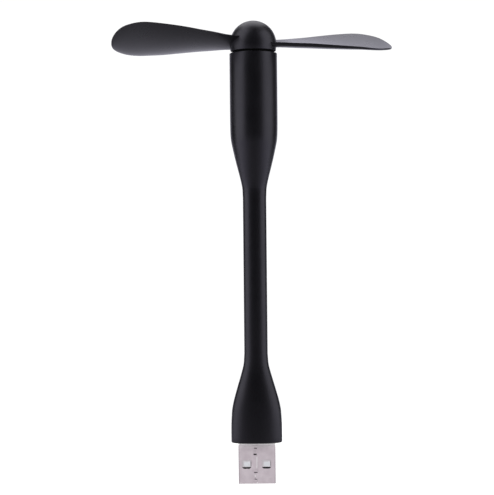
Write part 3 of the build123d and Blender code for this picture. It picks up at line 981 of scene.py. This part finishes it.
# %% Tongue
PADS_X = (-3.2, 3.2)
PAD_WIDTH = 2.08
PAD_HEIGHT = (-7.57, -5.95)
PAD_FRONT = -2.2
PAD_BACK = -1.6
PAD_CORNERS = (0.25, 0.4)
PAD_SWELL = 0.2
PAD_SWELL_STEPS = 4
STEP_MARGIN = 0.03
STEP_HEIGHT = (-7.7, -5.45)
STEP_FRONT = -2.12
STEP_CORNERS = (0.23, 0.1)
SLOT_HEIGHT = (-8.4, -7.72)
SLOT_CORNERS = (0.05, 0.3)


def front_edge(edge):
    """True for an edge of a pad's front face."""
    return all(point.co.y < (PAD_FRONT + TINY) * MM for point in edge.verts)


tongue = bpy.data.objects.new("insulator_tongue", nodes["usb_insulator"].data.copy())
bpy.context.scene.collection.objects.link(tongue)
make_active(tongue)
bpy.ops.object.mode_set(mode="EDIT")
bpy.ops.mesh.select_all(action="SELECT")
bpy.ops.mesh.remove_doubles(threshold=MERGE_DISTANCE)
bpy.ops.object.mode_set(mode="OBJECT")
for x, pad_x in zip(WINDOWS_X, PADS_X):
    spring_slot = window_box("slot", x, WINDOW_WIDTH, *SLOT_HEIGHT, CUT_FRONT, NOTCH_DEPTH, SLOT_CORNERS)
    combine(tongue, spring_slot, "DIFFERENCE")
    step_width = WINDOW_WIDTH - 2 * STEP_MARGIN
    step = window_box("step", x, step_width, *STEP_HEIGHT, STEP_FRONT, PAD_BACK, STEP_CORNERS)
    combine(tongue, step, "UNION")
    pad = window_box("pad", pad_x, PAD_WIDTH, *PAD_HEIGHT, PAD_FRONT, PAD_BACK, PAD_CORNERS)
    bevel_edges(pad, PAD_SWELL, PAD_SWELL_STEPS, front_edge)
    combine(tongue, pad, "UNION")
for notch in NOTCHES:
    combine(tongue, notch_box(*notch), "DIFFERENCE")
shade(tongue)
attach(tongue, "base")
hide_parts("usb_insulator")
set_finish(tongue, "white_plastic")
print("tongue faces:", len(tongue.data.polygons))

# %% [markdown]
# Every finish starts in the same way: a Principled shader, and noise on Object coordinates, which are
# metres in the fan's own frame, so a noise scale of 1000 makes spots about a millimetre wide. One noise
# tints the colour, one varies the roughness, and a fine one gives the surface its grain. Pictures of
# the materials would do too, but noise has no seams and needs no files.

# %% Tools for finishes
NOISE_RANGE = (0.3, 0.7)  # noise seldom leaves this range
TONE_DETAIL = 4.0


def in_metres(values):
    """Millimetres as metres, for nodes."""
    return [value * MM for value in values]


def open_finish(material):
    """The node tree, the shader and the Object coordinates of a finish."""
    tree = material.node_tree
    place = next(node for node in tree.nodes if node.type == "TEX_COORD").outputs["Object"]
    return tree, tree.nodes["Principled BSDF"], place


def start_finish(name):
    """A new material, with what open_finish gives."""
    material = bpy.data.materials.new(name)
    material.use_nodes = True
    add_node(material.node_tree, "ShaderNodeTexCoord")
    return material, *open_finish(material)


def grain(tree, place, scale, detail=2.0):
    """Noise whose spots are about a metre divided by the scale."""
    noise = add_node(tree, "ShaderNodeTexNoise", {"Vector": place}, Scale=scale, Detail=detail)
    return noise.outputs["Fac"]


def two_tone(tree, value, dark, light):
    """A colour between a dark and a light tone."""
    ramp = add_node(tree, "ShaderNodeValToRGB", {"Fac": value})
    for element, colour, position in zip(ramp.color_ramp.elements, (dark, light), NOISE_RANGE):
        element.color = (*colour, 1)
        element.position = position
    return ramp.outputs["Color"]


def relief(tree, shader, height, depth):
    """Gives the surface a bump of some depth in millimetres."""
    bump = add_node(tree, "ShaderNodeBump", {"Height": height}, Strength=1.0, Distance=depth * MM)
    tree.links.new(bump.outputs["Normal"], shader.inputs["Normal"])


def plain_finish(name, dark, light, roughness, metallic, spots, grit, depth):
    """A two-tone finish with uneven gloss and a fine grain; depth is in millimetres."""
    material, tree, shader, place = start_finish(name)
    tone = two_tone(tree, grain(tree, place, spots, TONE_DETAIL), dark, light)
    tree.links.new(tone, shader.inputs["Base Color"])
    gloss = stretch(tree, grain(tree, place, spots * 2), NOISE_RANGE, roughness)
    tree.links.new(gloss, shader.inputs["Roughness"])
    shader.inputs["Metallic"].default_value = metallic
    relief(tree, shader, grain(tree, place, grit), depth)
    return material


# %% [markdown]
# Silicone is matt and faintly velvety: near black, a little cool, with a broad soft gloss. Its tone
# drifts slowly along the stick and its grain is as fine as the spark-worn mould that it comes from. The
# propeller's soft plastic is as black and smoother. Their gleam is tinted a little blue, as the photo
# shows it.

# %% Silicone and soft plastic
GLEAM = 0.72
GLEAM_TINT = (0.86, 0.83, 1.0)
BLACK_IOR = 1.5
BLACKS = {  # slot: name, dark, light, roughness, metallic, spots, grit, depth
    "silicone": (
        "silicone_skin", (0.0014, 0.0013, 0.0019), (0.0022, 0.0021, 0.0028),
        (0.36, 0.40), 0, 70, 4500, 0.006),
    "soft_plastic": (
        "blade_plastic", (0.0018, 0.0017, 0.0024), (0.0026, 0.0025, 0.0034),
        (0.38, 0.39), 0, 110, 5200, 0.0004),
}

finishes = {}
for slot, settings in BLACKS.items():
    finishes[slot] = plain_finish(*settings)
    shader = open_finish(finishes[slot])[1]
    shader.inputs["IOR"].default_value = BLACK_IOR
    shader.inputs["Specular IOR Level"].default_value = GLEAM
    shader.inputs["Specular Tint"].default_value = (*GLEAM_TINT, 1)
print("black finishes:", list(finishes))

# %% [markdown]
# The blades are more polished than the hub, so the roughness falls with the distance from the axis. The
# hub's flat underside is quite matt, or light would gleam in the gap below it. Two materials could do
# that, but in one the polish can change without an edge.

# %% Polish of the propeller
POLISH_RADII = (8.0, 14.0)  # plain out to the first, polished from the second
POLISH = 0.72
MATT_RISES = (0.02, 0.06)  # above the hub's low end: matt below the first, plain above the second

tree, shader, place = open_finish(finishes["soft_plastic"])
flat = add_node(tree, "ShaderNodeVectorMath", {0: place}, operation="MULTIPLY")
flat.inputs[1].default_value = (1, 1, 0)
radius = add_node(tree, "ShaderNodeVectorMath", {0: flat.outputs[0]}, operation="LENGTH").outputs["Value"]
polish = stretch(tree, radius, in_metres(POLISH_RADII), (1, POLISH))
gloss = shader.inputs["Roughness"]
polished = math_node(tree, "MULTIPLY", gloss.links[0].from_socket, polish)
low = stretch(tree, split(tree, place)["Z"], in_metres([HUB_LOW + rise for rise in MATT_RISES]), (1, 0))
under_hub = math_node(tree, "MULTIPLY", low, math_node(tree, "LESS_THAN", radius, HUB_RADIUS * MM))
tree.links.new(math_node(tree, "MAXIMUM", polished, under_hub), gloss)
print("propeller nodes:", len(tree.nodes))

# %% [markdown]
# The plug's shell is satin plated steel, pale and slightly pink, with clouded plating. A painted shade
# darkens it where the sides are folded round, painted light makes it a little paler near the grip, against
# the grip's shade, and painted highlights brighten it right under the grip and down two stretches of the
# seam. All of it could be painted in a picture, but places in millimetres stay true at any distance.

# %% Plug steel
STEEL_DARK = (0.545, 0.475, 0.52)
STEEL_LIGHT = (0.645, 0.575, 0.62)
# painted highlight, under the grip and along two stretches of the seam
STEEL_HIGHLIGHT = (0.96, 0.93, 0.95)
# painted shade, for the steel where its sides fold round
STEEL_FOLD_SHADE = (0.30, 0.26, 0.285)
STEEL_CLOUDS = 420
STEEL_DETAIL = 3.0
FOLD_SHADE_REACH = (5.6, 5.95)  # distance from the middle where the fold begins, and where it is darkest
# painted highlight: a pale band right under the grip
GRIP_HIGHLIGHT_HEIGHTS = (-0.75, -0.4)  # heights where the bright collar begins, and where it is full
SHADED = (-2.2, -0.6)  # heights where the grip's shade begins, and where it is deepest
# painted light that makes the steel paler where the grip's shade falls
PAINTED_LIFT = 0.3
# painted highlights: pale lines beside two stretches of the seam
SEAM_HIGHLIGHTS = (  # place across, lowest and highest point
    (-0.03, -8.3, -4.1), (-0.63, -11.1, -9.9),
)
SEAM_HIGHLIGHT_REACH = (0.05, 0.2)
SEAM_HIGHLIGHT_FADE = 0.4
SEAM_HIGHLIGHT_FRONT = (-2.2, -2.0)

finishes["plug_steel"], tree, shader, place = start_finish("satin_plated_steel")
across, depth, height = split(tree, place)
cloud = two_tone(tree, grain(tree, place, STEEL_CLOUDS, STEEL_DETAIL), STEEL_DARK, STEEL_LIGHT)
# Painted shade darkens the steel towards its folded sides.
fold_shade = stretch(tree, math_node(tree, "ABSOLUTE", across), in_metres(FOLD_SHADE_REACH), (0, 1))
plated_with_fold_shade = mix_colours(tree, fold_shade, cloud, STEEL_FOLD_SHADE)
front = stretch(tree, depth, in_metres(SEAM_HIGHLIGHT_FRONT), (1, 0))
# Painted highlight right under the grip, and painted light against the grip's shade.
grip_highlight = stretch(tree, height, in_metres(GRIP_HIGHLIGHT_HEIGHTS), (0, 1))
lift = stretch(tree, height, in_metres(SHADED), (0, PAINTED_LIFT))
painted_light = math_node(tree, "MAXIMUM", grip_highlight, lift)
# Painted highlights along two stretches of the seam, on the front face only.
for x, low, high in SEAM_HIGHLIGHTS:
    distance = math_node(tree, "ABSOLUTE", math_node(tree, "SUBTRACT", across, x * MM))
    above = stretch(tree, height, in_metres((low, low + SEAM_HIGHLIGHT_FADE)), (0, 1))
    below = stretch(tree, height, in_metres((high - SEAM_HIGHLIGHT_FADE, high)), (1, 0))
    line = stretch(tree, distance, in_metres(SEAM_HIGHLIGHT_REACH), (1, 0))
    for limit in (above, below, front):
        line = math_node(tree, "MULTIPLY", line, limit)
    painted_light = math_node(tree, "MAXIMUM", painted_light, line)
# The painted highlights and painted light are mixed over the plated colour.
tree.links.new(mix_colours(tree, painted_light, plated_with_fold_shade, STEEL_HIGHLIGHT), shader.inputs["Base Color"])
print("steel tone nodes:", len(tree.nodes))

# %% [markdown]
# The plating is a thin satin coat, so the steel gleams softly and only a little like bare metal. It was
# brushed before it was plated: the noise is stretched along the plug into fine lines, which vary the
# gloss and stand out as a shallow relief.

# %% Brush lines
STEEL_METALLIC = 0.2
STEEL_GLEAM = 0.3
STEEL_TINT = (0.6, 0.56, 0.59)
BRUSH_SCALE = (9000, 9000, 300)
BRUSH_ROUGHNESS = (0.42, 0.55)
BRUSH_DEPTH = 0.004

shader.inputs["Metallic"].default_value = STEEL_METALLIC
shader.inputs["Specular IOR Level"].default_value = STEEL_GLEAM
shader.inputs["Specular Tint"].default_value = (*STEEL_TINT, 1)
brushed = add_node(tree, "ShaderNodeMapping", {"Vector": place}, Scale=BRUSH_SCALE)
brush_lines = grain(tree, brushed.outputs[0], 1.0)
tree.links.new(stretch(tree, brush_lines, NOISE_RANGE, BRUSH_ROUGHNESS), shader.inputs["Roughness"])
relief(tree, shader, brush_lines, BRUSH_DEPTH)
print("steel nodes:", len(tree.nodes))

# %% [markdown]
# The other finishes are inside, or show only in the plug's mouth and under the hub: white moulded
# plastic, gold plate, copper, solder, steel, ferrite and so on. Each has its own tones, gloss, metal
# and grain, so they are rows of a table. The black moulding round the shaft hardly gleams, and the gap
# under the hub stays dark.

# %% Inner finishes
INNER = {  # slot: name, dark, light, roughness, metallic, spots, grit, depth
    "white_plastic": (
        "white_insulator", (0.60, 0.61, 0.645), (0.66, 0.67, 0.705), (0.38, 0.5), 0, 250, 3000, 0.006),
    "gold_plate": (
        "gold_contacts", (0.78, 0.52, 0.19), (0.93, 0.68, 0.30), (0.2, 0.34), 1, 500, 4000, 0.004),
    "black_plastic": (
        "black_moulding", (0.002, 0.002, 0.002), (0.004, 0.004, 0.004), (0.6, 0.75), 0, 200, 3000, 0.01),
    "copper": (
        "bare_copper", (0.60, 0.26, 0.13), (0.85, 0.42, 0.25), (0.25, 0.4), 1, 700, 3500, 0.006),
    "solder": (
        "soft_solder", (0.46, 0.46, 0.48), (0.70, 0.70, 0.72), (0.2, 0.45), 1, 900, 2200, 0.02),
    "motor_steel": (
        "motor_steel", (0.42, 0.42, 0.43), (0.58, 0.58, 0.59), (0.3, 0.42), 1, 260, 3500, 0.006),
    "ferrite": (
        "ferrite", (0.045, 0.044, 0.043), (0.085, 0.083, 0.080), (0.55, 0.7), 0, 900, 3000, 0.02),
    "nylon": (
        "natural_nylon", (0.62, 0.60, 0.54), (0.74, 0.72, 0.66), (0.45, 0.55), 0, 240, 2500, 0.008),
    "bronze": (
        "sintered_bronze", (0.42, 0.24, 0.10), (0.62, 0.38, 0.18), (0.38, 0.55), 1, 1200, 5000, 0.02),
    "bright_steel": (
        "ground_steel", (0.58, 0.58, 0.59), (0.72, 0.72, 0.73), (0.16, 0.26), 1, 400, 5000, 0.003),
    "brass": (
        "turned_brass", (0.62, 0.44, 0.16), (0.80, 0.60, 0.26), (0.22, 0.34), 1, 350, 4000, 0.005),
}
DULL_GLEAM = 0.1

for slot, settings in INNER.items():
    finishes[slot] = plain_finish(*settings)
shader = open_finish(finishes["black_plastic"])[1]
shader.inputs["Specular IOR Level"].default_value = DULL_GLEAM
print("finishes:", len(finishes))

# %% [markdown]
# Hardly any light gets into the tongue's slots and the seam's notches, so a painted shade, a dark
# tone, is mixed in by depth below the tongue's face, over the height at which they lie. The step round
# each pad lies in the window's shade, so painted shade makes it greyer than the pad. Deeper cuts alone
# would not do, because a white slot fills with its own light.

# %% Dark slots
# painted shade in the slots and notches
SLOT_SHADE = (0.006, 0.005, 0.006)
SLOT_DEPTHS = (-1.9, -1.7)
SLOT_SPAN = (-12.2, -1.3)
# painted shade on the step round each pad
SHADE_TONE = (0.57, 0.54, 0.57)
SHADE_DEPTHS = (-2.17, -2.13)
SHADE_END = -1.96

tree, shader, place = open_finish(finishes["white_plastic"])
depth, height = split(tree, place)[1:]
# Painted shade: dark by depth below the tongue's face, within the slots' heights.
deep = stretch(tree, depth, in_metres(SLOT_DEPTHS), (0, 1))
limits = (
    ("LESS_THAN", depth, NOTCH_DEPTH + TINY),
    ("GREATER_THAN", height, SLOT_SPAN[0]),
    ("LESS_THAN", height, SLOT_SPAN[1]),
)
for test, part, end in limits:
    deep = math_node(tree, "MULTIPLY", deep, math_node(tree, test, part, end * MM))
low = stretch(tree, depth, in_metres(SHADE_DEPTHS), (0, 1))
shade_share = math_node(tree, "MULTIPLY", low, math_node(tree, "LESS_THAN", depth, SHADE_END * MM))
tone = shader.inputs["Base Color"].links[0].from_socket
shaded = mix_colours(tree, shade_share, tone, SHADE_TONE)
tree.links.new(mix_colours(tree, deep, shaded, SLOT_SHADE), shader.inputs["Base Color"])
print("slot tone from", SLOT_DEPTHS[0], "mm")

# %% [markdown]
# Every piece now gets the finish of its slot: the new pieces by the slot that they name, and the pieces
# that come from the model by the name of the material that they were packed with. Setting each by hand
# would do the same, and would miss one sooner or later.

# %% Dress every piece
for node in nodes.values():
    slot = node.data.materials[0].name
    node.data.materials.clear()
    node.data.materials.append(finishes[slot])
dressed = [piece for piece in bpy.context.scene.objects if "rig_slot" in piece]
for piece in dressed:
    piece.data.materials.clear()
    piece.data.materials.append(finishes[piece["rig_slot"]])
print("dressed:", len(dressed), "new pieces and", len(nodes), "nodes")

# %% [markdown]
# Last, nothing is left selected.

# %% Clear the selection
clear_selection()
